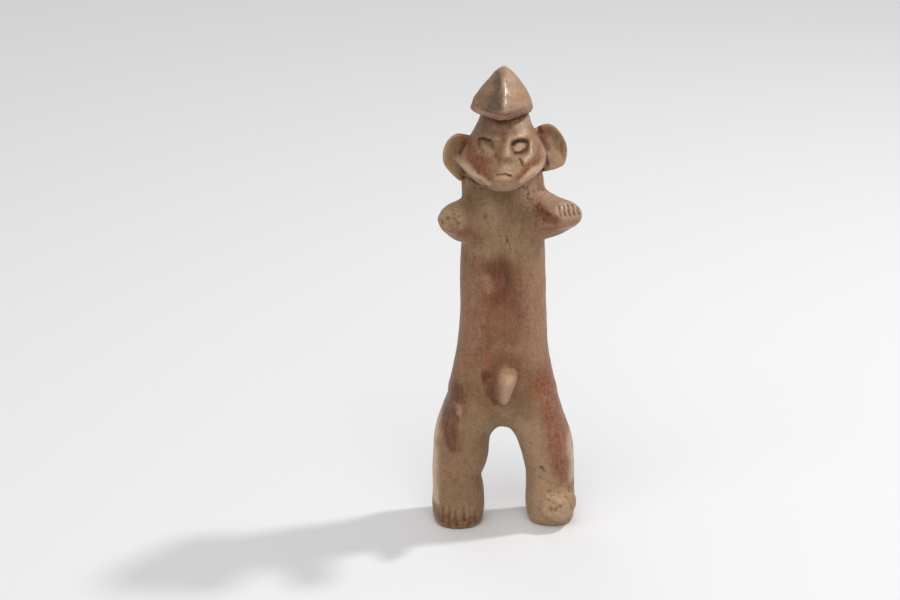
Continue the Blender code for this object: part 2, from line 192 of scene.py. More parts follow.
# Pinched up, or cut in when negative, from the front: rises and reaches at the two ends, then a
# path in x and z.
STROKES = {
    "right_brow": ((0.009, 0.0145), (0.0064, 0.0068), ((0.012, 0.8765), (0.046, 0.877), (0.06, 0.8715))),
    "left_brow": ((0.0035, 0.0055), (0.006, 0.006), ((-0.054, 0.87), (-0.034, 0.8755), (-0.014, 0.875))),
    "nose": ((0.002, 0.0185), (0.0058, 0.0132), ((0.005, 0.884), (0.007, 0.866), (0.006, 0.853))),
    "under_nose": ((-0.002, -0.002), (0.006, 0.006), ((-0.008, 0.833), (0.008, 0.833))),
    "crease": ((-0.0012, -0.0012), (0.002, 0.002), ((-0.019, 0.8185), (0, 0.8202), (0.0165, 0.8187))),
    "lower_lip": ((0.0025, 0.0025), (0.006, 0.006), ((-0.014, 0.806), (0.008, 0.806))),
    "mouth": ((-0.003, -0.0055), (0.0022, 0.0028), ((-0.014, 0.8125), (0.001, 0.8142), (0.012, 0.8115))),
    "tear_cut": ((-0.004, -0.0025), (0.0026, 0.0022), ((0.0295, 0.8385), (0.037, 0.8245))),
    "right_lid": ((0.0045, 0.0045), (0.0055, 0.0055), ((0.052, 0.855), (0.0545, 0.845), (0.044, 0.835))),
    "left_gap": ((-0.005, -0.005), (0.0036, 0.0034), ((-0.05, 0.857), (-0.045, 0.865), (-0.028, 0.867))),
    "left_jaw": ((0.006, 0.003), (0.009, 0.008),
        ((-0.088, 0.806), (-0.072, 0.812), (-0.049, 0.802), (-0.035, 0.79))),
    "right_jaw": ((0.006, 0.003), (0.009, 0.008), ((0.085, 0.811), (0.061, 0.812), (0.039, 0.798))),
    "left_hollow": ((-0.002, -0.004), (0.008, 0.008), ((-0.074, 0.826), (-0.046, 0.815), (-0.028, 0.804))),
    "right_hollow": ((-0.002, -0.004), (0.008, 0.008), ((0.07, 0.827), (0.044, 0.815), (0.028, 0.804))),
    "left_crease": ((-0.005, -0.007), (0.004, 0.0045), ((-0.08, 0.77), (-0.056, 0.772), (-0.036, 0.778))),
    "right_crease": ((-0.007, -0.005), (0.0045, 0.004), ((0.036, 0.778), (0.054, 0.78), (0.08, 0.786))),
    "cap_groove": ((-0.0035, -0.0035), (0.004, 0.004),
        ((-0.06, 0.934), (-0.025, 0.93), (0.006, 0.924), (0.04, 0.929))),
    "ear_notch": ((-0.007, -0.004), (0.006, 0.005), ((0.07, 0.873), (0.076, 0.862))),
    "ear_fold": ((-0.001, -0.0015), (0.005, 0.005), ((0.082, 0.85), (0.088, 0.826))),
    "left_thigh": ((0.002, 0.003), (0.01, 0.015), ((-0.112, 0.29), (-0.094, 0.27), (-0.088, 0.24))),
    "chest_crack": ((-0.0018, -0.0012), (0.0022, 0.0018), ((0.006, 0.662), (0.009, 0.651), (0.016, 0.632))),
    "crack_branch": ((-0.002, -0.001), (0.0014, 0.0012), ((0.009, 0.651), (0.003, 0.64))),
    "neck_crack": ((-0.002, -0.0014), (0.0024, 0.0024),
        ((0.046, 0.757), (0.051, 0.748), (0.047, 0.741), (0.054, 0.732))),
    "shin_pit": ((-0.0038, -0.0015), (0.0052, 0.0036), ((0.085, 0.139), (0.092, 0.131))),
    "shin_crease": ((-0.0012, -0.0008), (0.003, 0.003), ((0.08, 0.118), (0.098, 0.108), (0.112, 0.104))),
    "lump_crack": ((-0.0016, -0.0008), (0.003, 0.002),
        ((0.096, 0.072), (0.112, 0.066), (0.118, 0.05), (0.134, 0.044))),
    "lump_fold": ((-0.002, -0.002), (0.003, 0.003), ((0.136, 0.076), (0.146, 0.066), (0.15, 0.05))),
    "cap_ridge": ((0.003, 0.002), (0.006, 0.0045), ((0.004, 0.938), (0.003, 0.955), (-0.001, 0.985))),
    "cap_lip": ((0.003, 0.003), (0.005, 0.005),
        ((-0.052, 0.9215), (-0.022, 0.9165), (0.008, 0.9095), (0.034, 0.913), (0.05, 0.919))),
    "left_chin": ((-0.006, -0.008), (0.005, 0.006), ((-0.046, 0.794), (-0.031, 0.776))),
    "right_chin": ((-0.006, -0.008), (0.005, 0.006), ((0.052, 0.79), (0.036, 0.772))),
    "lump_ridge": ((0.005, 0.003), (0.007, 0.005), ((0.098, 0.078), (0.12, 0.074), (0.134, 0.058))),
    "lump_dent": ((-0.005, -0.003), (0.008, 0.006), ((0.108, 0.05), (0.128, 0.06))),
}
# Round marks: rise, middle x and z, half width, half height and how crisp the edge is.
SPOTS = {
    "forehead": (-0.015, 0.004, 0.913, 0.056, 0.019, 2),
    "right_socket": (-0.019, 0.0305, 0.8565, 0.0195, 0.013, 5),
    "left_socket": (-0.014, -0.036, 0.8565, 0.0165, 0.012, 5),
    "right_eyeball": (0.018, 0.03, 0.856, 0.013, 0.0088, 3),
    "left_eyeball": (0.015, -0.0335, 0.853, 0.0126, 0.0094, 3),
    "right_palm": (-0.012, 0.086, 0.716, 0.022, 0.013, 3),
    "right_cheek": (0.005, 0.06, 0.842, 0.018, 0.022, 2),
    "left_cheek": (0.004, -0.062, 0.8375, 0.018, 0.02, 2),
    "muzzle": (0.005, 0, 0.8139, 0.026, 0.02, 2),
    "forehead_right": (-0.013, 0.038, 0.906, 0.024, 0.013, 2),
}
FINGERS = 5
FINGER_FROM = ((0.105, 0.75), (0.114, 0.728))
FINGER_TO = ((0.142, 0.748), (0.15, 0.727))
FINGER_CUT = ((-0.01, -0.004), (0.0034, 0.0028))
# The notches between the toes, top and bottom.
TOES = (
    ((-0.123, 0.048), (-0.122, 0.015)),
    ((-0.108, 0.054), (-0.109, 0.012)),
    ((-0.096, 0.044), (-0.095, 0.014)),
    ((-0.079, 0.056), (-0.078, 0.024)),
    ((-0.067, 0.034), (-0.068, 0.012)),
    ((-0.055, 0.04), (-0.055, 0.016)),
)
TOE_CUT = ((-0.0015, -0.0045), (0.0036, 0.0056))
# How far the hand strays from a path, over what distance, and the seeds across and up.
CARVE_STRAY = (0.0012, 2.5 * MM, (61, 71))
# Where the clay is pricked: middle x and z, half width and half height of a cluster, how many
# holes it has, and how deep and how wide a hole is.
PRICKS = {
    "left_hand": (-0.104, 0.724, 0.02, 0.013, 16, 0.0036, 0.0027),
    "left_chin": (-0.046, 0.768, 0.012, 0.012, 9, 0.0034, 0.0026),
    "right_chin": (0.04, 0.768, 0.013, 0.01, 10, 0.0034, 0.0026),
    "right_neck": (0.052, 0.744, 0.012, 0.022, 14, 0.0016, 0.003),
    "left_ear": (-0.07, 0.768, 0.014, 0.014, 8, 0.003, 0.0026),
    "palm": (0.08, 0.712, 0.016, 0.014, 7, 0.0024, 0.0024),
    "left_foot": (-0.09, 0.03, 0.038, 0.022, 12, 0.0016, 0.0036),
}
SHALLOWEST_PRICK = 0.5
PRICK_REACH = 3
FACING_GAIN = 2.0
# Where joints and corners are rubbed over: middle x and z, half width and half height.
RUBBED = (
    (0, 0.335, 0.05, 0.055),
    (-0.068, 0.926, 0.018, 0.014),
    (0.062, 0.926, 0.018, 0.014),
    (0.08, 0.806, 0.014, 0.024),
    (-0.08, 0.786, 0.012, 0.02),
    (0.09, 0.066, 0.022, 0.026),
    (0.116, 0.09, 0.03, 0.014),
)
RUB_STROKES = 60
RUB_EDGE = 4
# The parts that are rougher and smoother: middle x and z, half width and half height.
ROUGH_LUMP = (FOOT_LUMP[0], FOOT_LUMP[2], 0.045, 0.045)
SMOOTH_FACE = (0.02, 0.93, 0.075, 0.085)
# Marks all over the skin: how high they are, how far apart they stand, and their noise's seed.
DENTS = (0.20 * MM, 9 * MM, 1)
RUB_MARKS = (0.060 * MM, (1.8 * MM, 1.8 * MM, 16 * MM), 11)
GRAIN = (0.040 * MM, 1.7 * MM, 21)
CRUST = (0.45 * MM, 6 * MM, 81)
CRUST_LEVEL = 0.35
PITS = (0.35 * MM, 1.5 * MM, 91)
PIT_LEVEL = 0.55

# Where the finish differs on the front: how much slip, pale wear, dark soil and gloss a stretch
# has, then its reach at both ends and its path in x and z. Later rows lie over earlier ones.
# Some rows also paint light and shade: their pale wear is a painted highlight, sheen or lit
# side, and their dark soil a painted shade or shadow, as said above each of them.
BARE = (0.24, 0.10, 0.12, 0.05)
STAINS = {
    "torso": ((0.66, 0.1, 0.12, 0.2), (0.085, 0.1), ((0, 0.59), (0, 0.39))),
    # Pale wear on the right of the torso is painted light on the side the lamp falls on; the slip is its
    # own.
    "torso_right_painted_light": ((0.6, 0.38, 0, 0.15), (0.024, 0.03), ((0.066, 0.62), (0.07, 0.4))),
    "torso_left": ((0.46, 0.05, 0.2, 0.15), (0.026, 0.026), ((-0.07, 0.62), (-0.074, 0.54))),
    "chest": ((0.12, 0.18, 0.08, 0), (0.085, 0.07), ((-0.01, 0.74), (0.005, 0.665))),
    "neck": ((0.05, 0, 0.4, 0), (0.06, 0.06), ((-0.04, 0.745), (0.03, 0.745))),
    "torso_tan": ((0.08, 0.25, 0.05, 0.1), (0.02, 0.018), ((-0.075, 0.63), (-0.03, 0.627))),
    "torso_pink": ((0.62, 0.25, 0.1, 0.2), (0.024, 0.026), ((-0.056, 0.53), (-0.058, 0.43))),
    "red_streaks": ((0.95, 0, 0.85, 0.2), (0.036, 0.03), ((-0.01, 0.58), (-0.002, 0.508))),
    "red_trail": ((0.5, 0.02, 0.3, 0.2), (0.044, 0.044), ((-0.006, 0.49), (0, 0.41))),
    "pale_flecks": ((0.45, 0.24, 0, 0.05), (0.016, 0.013), ((-0.034, 0.566), (-0.026, 0.545))),
    "low_flecks": ((0.55, 0.25, 0.15, 0.05), (0.01, 0.01), ((-0.01, 0.424), (0.042, 0.408))),
    "left_ear": ((0.04, 0.42, 0.06, 0), (0.034, 0.028), ((-0.106, 0.838), (-0.094, 0.79))),
    "right_ear": ((0.04, 0.2, 0.34, 0), (0.032, 0.03), ((0.104, 0.86), (0.116, 0.826))),
    # Pale wear on the right ear lobe is painted light, as if the lamp fell on it.
    "right_lobe_painted_light": ((0.05, 2.0, 0, 0.05), (0.014, 0.02), ((0.086, 0.842), (0.096, 0.82), (0.104, 0.808))),
    "head": ((0.12, 0.14, 0.15, 0.05), (0.068, 0.066), ((0, 0.9), (0, 0.8))),
    # Dark soil on the left of the forehead is a painted shadow of the cap.
    "forehead_left_shadow": ((0.05, 0, 1.5, 0.05), (0.036, 0.026), ((-0.02, 0.902), (-0.034, 0.88))),
    # Pale wear on the right of the forehead is a painted highlight on the facet the lamp lights.
    "forehead_right": ((0.05, 1.45, 0, 0.95), (0.015, 0.02), ((0.042, 0.902), (0.042, 0.88))),
    "right_cheek": ((1.15, 0.16, 0, 0.5), (0.017, 0.015),
        ((0.062, 0.872), (0.068, 0.846), (0.055, 0.82), (0.036, 0.801))),
    # Pale wear here is a painted highlight on the right cheek, over red slip.
    "cheek_painted_highlight": ((0.7, 0.7, 0, 0.6), (0.008, 0.008), ((0.06, 0.874), (0.068, 0.856))),
    # Pale wear on the right lower lid is a painted highlight.
    "right_lid": ((0.25, 0.75, 0, 1.0), (0.006, 0.007), ((0.053, 0.858), (0.055, 0.846), (0.045, 0.836))),
    "left_cheek": ((1.15, 0, 0.5, 0.4), (0.017, 0.018), ((-0.07, 0.862), (-0.062, 0.836), (-0.036, 0.812))),
    "left_lower_cheek": ((0.6, 0.1, 0.15, 0.25), (0.016, 0.012), ((-0.034, 0.806), (-0.014, 0.794))),
    # Pale wear along both jaws, in this row and the next, is a painted reflection of the white table.
    "left_jaw": ((0.1, 0.95, 0, 0.5), (0.009, 0.008),
        ((-0.088, 0.803), (-0.072, 0.81), (-0.049, 0.8), (-0.036, 0.789))),
    "right_jaw": ((0.1, 1.4, 0, 0.4), (0.011, 0.01), ((0.085, 0.811), (0.061, 0.809), (0.039, 0.795))),
    "nose": ((0.05, 0.45, 0, 0.1), (0.006, 0.012), ((0.007, 0.872), (0.01, 0.85))),
    # Dark soil on the left of the nose is painted shade.
    "nose_left_shade": ((0.2, 0, 0.6, 0), (0.004, 0.006), ((-0.003, 0.868), (-0.01, 0.85))),
    # Red slip with dark soil under the nose is painted shade.
    "nose_shade": ((0.75, 0, 0.55, 0.05), (0.006, 0.006),
        ((-0.016, 0.846), (-0.006, 0.838), (0.004, 0.838))),
    "muzzle": ((0.1, 0.65, 0, 0.15), (0.012, 0.018), ((0.004, 0.828), (0.008, 0.822))),
    "chin": ((0.15, 0.3, 0.05, 0.15), (0.018, 0.016), ((-0.008, 0.794), (0.014, 0.792))),
    "cap": ((0.3, 0.15, 0.15, 0.45), (0.08, 0.04), ((0, 0.93), (0, 1.0))),
    # Dark soil on the cap's left face is partly its own olive colour and partly painted shade.
    "cap_left": ((0.1, 0.05, 0.6, 0.45), (0.034, 0.012), ((-0.04, 0.938), (-0.014, 0.985))),
    # Dark soil beside the cap's ridge is painted shade on the face turned from the lamp.
    "cap_shade": ((0.05, 0, 1.3, 0.7), (0.018, 0.008), ((-0.018, 0.94), (-0.01, 0.985))),
    "cap_right": ((0.55, 0.56, 0, 0.3), (0.032, 0.012), ((0.036, 0.935), (0.014, 0.985))),
    "cap_ridge": ((0.15, 0.6, 0.1, 1.25), (0.008, 0.005), ((0.004, 0.934), (0.003, 0.955), (-0.001, 0.985))),
    "cap_lip": ((0.75, 0.35, 0, 0.45), (0.009, 0.009),
        ((-0.052, 0.9235), (-0.022, 0.9205), (0.008, 0.9135), (0.034, 0.917))),
    # Dark soil in the crevices by the ears, in this row and the next, is painted shade over red slip.
    "right_crevice_shade": ((0.6, 0, 0.7, 0.05), (0.006, 0.005), ((0.084, 0.812), (0.09, 0.796))),
    "left_crevice_shade": ((0.4, 0, 0.7, 0.05), (0.006, 0.006), ((-0.08, 0.8), (-0.082, 0.768))),
    "left_arm": ((0.12, 0.15, 0.12, 0.05), (0.05, 0.04), ((-0.05, 0.715), (-0.09, 0.715))),
    "left_hand": ((0.2, 0.2, 0.12, 0.2), (0.022, 0.022), ((-0.112, 0.724), (-0.096, 0.72))),
    "left_arm_low": ((0.72, 0.1, 0.12, 0.25), (0.014, 0.018),
        ((-0.108, 0.692), (-0.075, 0.68), (-0.056, 0.672))),
    "right_arm": ((0.08, 0.95, 0, 0.05), (0.034, 0.026), ((0.06, 0.752), (0.11, 0.744))),
    "palm": ((1.1, 0.12, 0.22, 0.1), (0.017, 0.013), ((0.074, 0.72), (0.104, 0.717))),
    "palm_root": ((0.4, 0.05, 0.4, 0.1), (0.014, 0.012), ((0.07, 0.704), (0.1, 0.71))),
    # Pale wear on the fingertips is partly a painted highlight.
    "fingers": ((0.22, 0.42, 0.15, 0.9), (0.012, 0.012), ((0.108, 0.738), (0.152, 0.731))),
    "right_arm_low": ((0.9, 0.18, 0.1, 0.45), (0.016, 0.012),
        ((0.075, 0.688), (0.105, 0.692), (0.142, 0.706))),
    "left_leg": ((0.1, 0.05, 0.12, 0.05), (0.07, 0.07), ((-0.07, 0.23), (-0.085, 0.03))),
    "right_leg": ((0.12, 0.38, 0.02, 0.05), (0.06, 0.06), ((0.07, 0.25), (0.09, 0.03))),
    # Pale wear on the left leg's outer edge is a painted sheen.
    "left_painted_sheen": ((0.25, 1.4, 0, 0.9), (0.01, 0.01), ((-0.128, 0.28), (-0.144, 0.18), (-0.142, 0.06))),
    "left_thigh": ((1.15, 0.02, 0.9, 0.35), (0.027, 0.013),
        ((-0.098, 0.306), (-0.108, 0.252), (-0.104, 0.19))),
    "flake": ((0.1, 0.3, 0.05, 0.05), (0.009, 0.007), ((-0.09, 0.284), (-0.09, 0.27))),
    "groin": ((0.35, 0.05, 0.35, 0.1), (0.02, 0.016), ((-0.06, 0.33), (-0.036, 0.29))),
    "right_groin": ((0.2, 0, 0.2, 0.05), (0.026, 0.024), ((0.04, 0.312), (0.05, 0.27))),
    "right_hip": ((0.75, 0.18, 0.05, 0.12), (0.026, 0.02), ((0.088, 0.34), (0.112, 0.28))),
    "right_thigh": ((0.96, 0.14, 0.02, 0.12), (0.033, 0.016), ((0.1, 0.316), (0.116, 0.225), (0.128, 0.11))),
    "drop": ((0.04, 0.62, 0, 0.15), (0.018, 0.011), ((0.011, 0.364), (0.007, 0.318))),
    # Red slip with dark soil on the mound's left flank is painted shade.
    "side_lump": ((1.1, 0, 1.05, 0.1), (0.01, 0.008), ((-0.034, 0.354), (-0.024, 0.318), (-0.012, 0.294))),
    "left_toes": ((0.55, 0.1, 0.6, 0.05), (0.018, 0.018), ((-0.125, 0.024), (-0.06, 0.02))),
    "foot_lump": ((0.04, 0.8, 0.02, 0.05), (0.036, 0.03), ((0.112, 0.06), (0.13, 0.034))),
    # Pale wear on the right leg's outer edge is a painted sheen.
    "right_painted_sheen": ((0.4, 0.75, 0, 0.8), (0.009, 0.01), ((0.146, 0.2), (0.154, 0.11))),
    # Dark soil round the right eye's pellet is painted shade in the socket.
    "right_eye_shade_ring": (
        (0.2, 0, 0.5, 0),
        (0.0034, 0.0034),
        ((0.0145, 0.862), (0.025, 0.8685), (0.039, 0.867), (0.047, 0.859), (0.0445, 0.849), (0.034, 0.845)),
    ),
    "left_pellet": ((0.05, 0.22, 0.05, 0.05), (0.008, 0.008), ((-0.038, 0.855), (-0.031, 0.854))),
    "right_pellet": ((0.05, 0.5, 0, 0.05), (0.008, 0.008), ((0.026, 0.857), (0.033, 0.856))),
    # Dark soil round the left eye's pellet is painted shade in the socket.
    "left_eye_shade_ring": ((0.2, 0, 0.5, 0), (0.0032, 0.0028),
        ((-0.051, 0.854), (-0.044, 0.8645), (-0.028, 0.867))),
    "left_chest": ((0.1, 0.5, 0, 0.05), (0.026, 0.026), ((-0.036, 0.706), (-0.03, 0.69))),
}
# How far the edges of a stretch stray, over what distance, and the seeds across and up.
STAIN_STRAY = (0.0045, 7 * MM, (31, 41))
STAIN_FADE = 2.4
FRONT_GAIN = 1.4
# Patches in the finish: how strong they are, how far apart they stand, and their noise's seed.
SLIP_CLOUDS = (0.16, 30 * MM, 51)
SLIP_PATCHES = (0.10, 9 * MM, 101)
SOIL_PATCHES = (0.14, 14 * MM, 111)
LAYERS = ("slip_share", "wear_and_light_share", "soil_and_shade_share", "gloss_share", "cut_depth", "hollow_depth")
CUT_STROKES = 10
HOLLOW_STROKES = 50

# Patterns in the finish: size in mm, detail and roughness.
PATTERNS = {
    "streaks": (1.3, 4.0, 0.6),
    "grain": (1.0, 4.0, 0.7),
    "cloud": (5.0, 4.0, 0.6),
    "flecks": (1.2, 4.0, 0.7),
    "dots": (1.3, 1.0, 0.55),
}
STREAK_SQUEEZE = 0.12
OTHER_PLACE = (0.31, 0.17, 0.23)
# The most that each layer hides of what is under it.
WEAR_AND_LIGHT_COVER = 0.90
GRIME_AND_SHADE_COVER = 0.85
DOT_COVER = 0.30
DIRT_AND_SHADE_COVER = 0.62
# Roughness of bare soil and of whole slip, and what the gloss and the grain take off it.
DULL = 0.74
BURNISHED = 0.52
GLOSS_SMOOTHS = 0.42
GRAIN_SMOOTHS = 0.12
# The strength of a reflection without gloss and with it.
FAINT_SHINE = 0.16
FULL_SHINE = 0.75
BUMP_HEIGHT = 0.16 * MM

# The lights' places and the fills' diameters.
LAMP_PLACE = (0.783, 0.262, 1.224)
TOP_FILL = ((0.0, -1.1, 1.7), 1.6)
SIDE_FILL = ((-1.3, -1.0, 1.2), 1.0)
BACK_FILL = ((-0.6, 1.6, 1.4), 1.0)
LIGHTS_AIM = (0, 0, 0.1)


def linear(code):
    """Turns an sRGB hex code into the linear numbers that Blender's colours use."""
    shares = [int(code[place : place + 2], 16) / 255 for place in (0, 2, 4)]
    return [share / 12.92 if share <= 0.04045 else ((share + 0.055) / 1.055) ** 2.4 for share in shares]


def tint(name, description, code):
    """A colour setting, with an sRGB hex code as its default."""
    return bpy.props.FloatVectorProperty(
        name=name, description=description, subtype="COLOR", size=3, default=linear(code)
    )


def number(name, description, default):
    """A setting in whole numbers."""
    return bpy.props.IntProperty(name=name, description=description, default=default, min=0)


def metres(name, description, default):
    """A setting in metres."""
    return bpy.props.FloatProperty(
        name=name, description=description, default=default, unit="LENGTH", precision=5
    )


def watts(name, description, default):
    """A setting in watts."""
    return bpy.props.FloatProperty(name=name, description=description, default=default, unit="POWER")


class ClaySettings(bpy.types.PropertyGroup):
    """How the clay is worked and what colours its finish has."""

    body_grain: metres("Body grain", "Grain of the clay of trunk, legs and arms", 0.0036 * HEIGHT)
    body_strokes: number("Body strokes", "How many strokes rub the body smooth", 44)
    skin_grain: metres("Skin grain", "Grain of the skin, which sets its finest mark", 0.42 * MM)
    skin_strokes: number("Skin strokes", "How many strokes rub the skin smooth", 6)
    triangles: number("Triangles", "Most triangles in the finished skin", 196000)
    slip: tint("Slip", "Burnished red slip", "8c4f31")
    dark_slip: tint("Dark slip", "Slip where it lies thick and dirty", "5c3120")
    soil: tint("Soil", "Matte buff soil that the slip wore down to", "95795a")
    dark_soil: tint("Dark soil", "The same soil where it is darker and greasy", "6e573d")
    # The wear colour also paints highlights, sheen and lit sides, the grime colour paints shade and a
    # shadow, and the dirt colour paints shade into creases and hollows.
    wear: tint("Wear", "Pale clay where the finish is rubbed away", "c8a486")
    grime: tint("Grime", "Grey-brown grime over slip and soil", "4a3423")
    dirt: tint("Dirt", "Dirt in the cuts", "3a271b")


class StudioSettings(bpy.types.PropertyGroup):
    """The table, the light and the camera."""

    table_colour: tint("Table", "Matte white table", "ebebec")
    table_size: metres("Table size", "Length of the table's sides", 8.0)
    lamp_power: watts("Lamp", "Power of the lamp from the right and behind", 8.7)
    lamp_size: metres("Lamp size", "Diameter of that lamp", 0.119)
    fill_power: watts("Fill", "Power of the wide fill over the front", 14.0)
    side_power: watts("Side fill", "Power of each faint fill from the left", 3.0)
    sky: bpy.props.FloatProperty(name="Sky", description="Brightness of the white room", default=0.43)
    elevation: bpy.props.FloatProperty(
        name="Camera elevation",
        description="How far the camera looks down",
        default=math.radians(21),
        subtype="ANGLE",
    )
    distance: metres("Camera distance", "From the camera to its aim", 1.2404)
    aim_side: metres("Aim to the side", "Where the camera aims, right of the figure", -0.0275)
    aim_depth: metres("Aim in depth", "How far behind the middle the camera aims", 0.00566)
    aim_height: metres("Aim height", "How high the camera aims", 0.11863)
    lens: bpy.props.FloatProperty(
        name="Lens",
        description="Focal length on a sensor 36 mm wide",
        default=100.0,
        subtype="DISTANCE_CAMERA",
    )


def between(a, b, c, d, t):
    """A Catmull-Rom curve: the share t of the way from b to c, with a before and d after them."""
    return b + 0.5 * t * (c - a + t * (2 * a - 5 * b + 4 * c - d + t * (3 * (b - c) + d - a)))


def smooth_rows(rows, count):
    """A smooth curve through the rows of a table, read at count even steps, in metres."""
    rows = np.array(rows) * HEIGHT
    rows = np.vstack([2 * rows[0] - rows[1], rows, 2 * rows[-1] - rows[-2]])
    place = np.linspace(0, len(rows) - 3, count)
    first = np.minimum(place.astype(int), len(rows) - 4)
    return between(*(rows[first + k] for k in range(4)), (place - first)[:, None])


def closed_curve(corners, count):
    """A smooth closed curve through a few corners, read at count even steps, in metres."""
    loop = np.array(corners) * HEIGHT
    place = np.arange(count) * len(loop) / count
    first = place.astype(int)
    ring = (loop[(first + k) % len(loop)] for k in (-1, 0, 1, 2))
    return between(*ring, (place - first)[:, None])


RING_SIDES = 96
RING_STEPS = 72
POLE_GAP = 0.02
RUB_FACTOR = 0.5


def ring_directions(corners):
    """Cosine and sine round a superellipse: each is raised to 2 / corners and keeps its sign."""
    angle = np.arange(RING_SIDES) * 2 * math.pi / RING_SIDES
    cosine, sine = np.cos(angle), np.sin(angle)
    power = 2 / corners
    return np.sign(cosine) * abs(cosine) ** power, np.sign(sine) * abs(sine) ** power


def skin(points):
    """Vertices and faces of a closed surface from a grid of points: rows are rings, ends are filled."""
    rings, sides = points.shape[:2]
    low = (np.arange(rings - 1) * sides)[:, None] + np.arange(sides)
    turn = (np.arange(rings - 1) * sides)[:, None] + (np.arange(sides) + 1) % sides
    quads = np.stack([low, turn, turn + sides, low + sides], 2).reshape(-1, 4).tolist()
    ends = [list(range(sides))[::-1], list(range((rings - 1) * sides, rings * sides))]
    return points.reshape(-1, 3), quads + ends


def loft(centres, across, along, corners):
    """The surface centre + across * cosine + along * sine, ring by ring."""
    cosine, sine = ring_directions(corners)
    cosine, sine = cosine[:, None], sine[:, None]
    return skin(centres[:, None] + across[:, None] * cosine + along[:, None] * sine)


def upright(rows, corners=2.0):
    """A loft up the height of the figure. A sixth column lifts the front of a ring."""
    height, x, y, half_width, half_depth, *more = smooth_rows(rows, RING_STEPS).T
    none = np.zeros_like(height)
    lift = more[0] if more else none
    centres = np.stack([x, y, height], 1)
    across = np.stack([half_width, none, none], 1)
    along = np.stack([none, half_depth, -lift], 1)
    return loft(centres, across, along, corners)


def stub_arm(rows):
    """A loft along the arm's own line, with its rings square to that line."""
    x, y, z, half_across, half_up = smooth_rows(rows, RING_STEPS).T
    centres = np.stack([x, y, z], 1)
    line = np.gradient(centres, axis=0)
    line /= np.linalg.norm(line, axis=1)[:, None]
    level = np.cross(line, (0, 0, 1))
    level /= np.linalg.norm(level, axis=1)[:, None]
    rise = np.cross(level, line)
    return loft(centres, level * half_across[:, None], rise * half_up[:, None], 2.0)


def ball(shares):
    """An egg: middle + half sizes * (sin p cos a, sin p sin a, cos p) for p from pole to pole."""
    x, y, z, half_width, half_depth, half_height = (share * HEIGHT for share in shares)
    pole = np.linspace(POLE_GAP, math.pi - POLE_GAP, RING_STEPS)[::-1, None]
    angle = np.arange(RING_SIDES) * 2 * math.pi / RING_SIDES
    across = x + half_width * np.sin(pole) * np.cos(angle)
    depth = y + half_depth * np.sin(pole) * np.sin(angle)
    up = z + half_height * np.cos(pole) * np.ones_like(angle)
    return skin(np.stack([across, depth, up], 2))


def plate_ear(outline, seat):
    """A thin plate: its outline spread by sqrt(1 - layer^4), dished by the square of the reach."""
    x, y, z = (share * HEIGHT for share in seat[:3])
    swing = math.tan(math.radians(seat[3]))
    edge = closed_curve(outline, RING_SIDES) - (x, z)
    reach = np.linalg.norm(edge, axis=1).max()
    layer = np.linspace(-1, 1, EAR_RINGS)
    spread = np.sqrt(np.clip(1 - layer**4, EAR_END_RING**2, 1))[:, None, None] * edge
    dish = EAR_CUP * HEIGHT * (spread**2).sum(2) / reach**2
    depth = EAR_HALF_THICKNESS * HEIGHT * layer[:, None] - dish
    across, up = spread[:, :, 0], spread[:, :, 1]
    return skin(np.stack([across + x, depth - across * swing + y, up + z], 2))


def as_object(name, masses):
    """Joins masses, each a pair of vertices and faces, into one object of the scene."""
    points, faces = [], []
    for mass_points, mass_faces in masses:
        start = sum(map(len, points))
        points.append(np.asarray(mass_points))
        faces += [[corner + start for corner in face] for face in mass_faces]
    mesh = bpy.data.meshes.new(name)
    mesh.from_pydata(np.vstack(points).tolist(), [], faces)
    made = bpy.data.objects.new(name, mesh)
    bpy.context.scene.collection.objects.link(made)
    return made


def baked(shape):
    """Makes an object's modifiers permanent."""
    graph = bpy.context.evaluated_depsgraph_get()
    mesh = bpy.data.meshes.new_from_object(shape.evaluated_get(graph))
    shape.modifiers.clear()
    old = shape.data
    shape.data = mesh
    bpy.data.meshes.remove(old)
    return shape


def pressed(name, masses, grain, strokes):
    """Presses overlapping masses into one skin of clay, and rubs it smooth with so many strokes."""
    clay = as_object(name, masses)
    shape = bmesh.new()
    shape.from_mesh(clay.data)
    bmesh.ops.recalc_face_normals(shape, faces=shape.faces)
    shape.to_mesh(clay.data)
    shape.free()
    press = clay.modifiers.new("press together", "REMESH")
    press.mode = "VOXEL"
    press.voxel_size = grain
    rub = clay.modifiers.new("rub smooth", "SMOOTH")
    rub.factor = RUB_FACTOR
    rub.iterations = strokes
    return baked(clay)


def as_mass(shape):
    """Takes an object out of the scene and returns its vertices and faces."""
    points = positions(shape.data)
    corners = values_of(shape.data.loops, "vertex_index", 1, int).ravel()
    starts = values_of(shape.data.polygons, "loop_start", 1, int).ravel()
    faces = [list(face) for face in np.split(corners, starts[1:])]
    bpy.data.objects.remove(shape)
    return points, faces


def values_of(items, name, width, kind=float):
    """What the items of a mesh say under a name: a row of so many values for each item."""
    values = np.empty(width * len(items), kind)
    items.foreach_get(name, values)
    return values.reshape(-1, width)


def positions(mesh):
    """The places of a mesh's vertices."""
    return values_of(mesh.vertices, "co", 3)


def directions(mesh):
    """The outward directions of a mesh's vertices."""
    return values_of(mesh.vertex_normals, "vector", 3)


def neighbour_pairs(mesh):
    """The two ends of each edge."""
    return values_of(mesh.edges, "vertices", 2, int)


NOISE_CELLS = 64


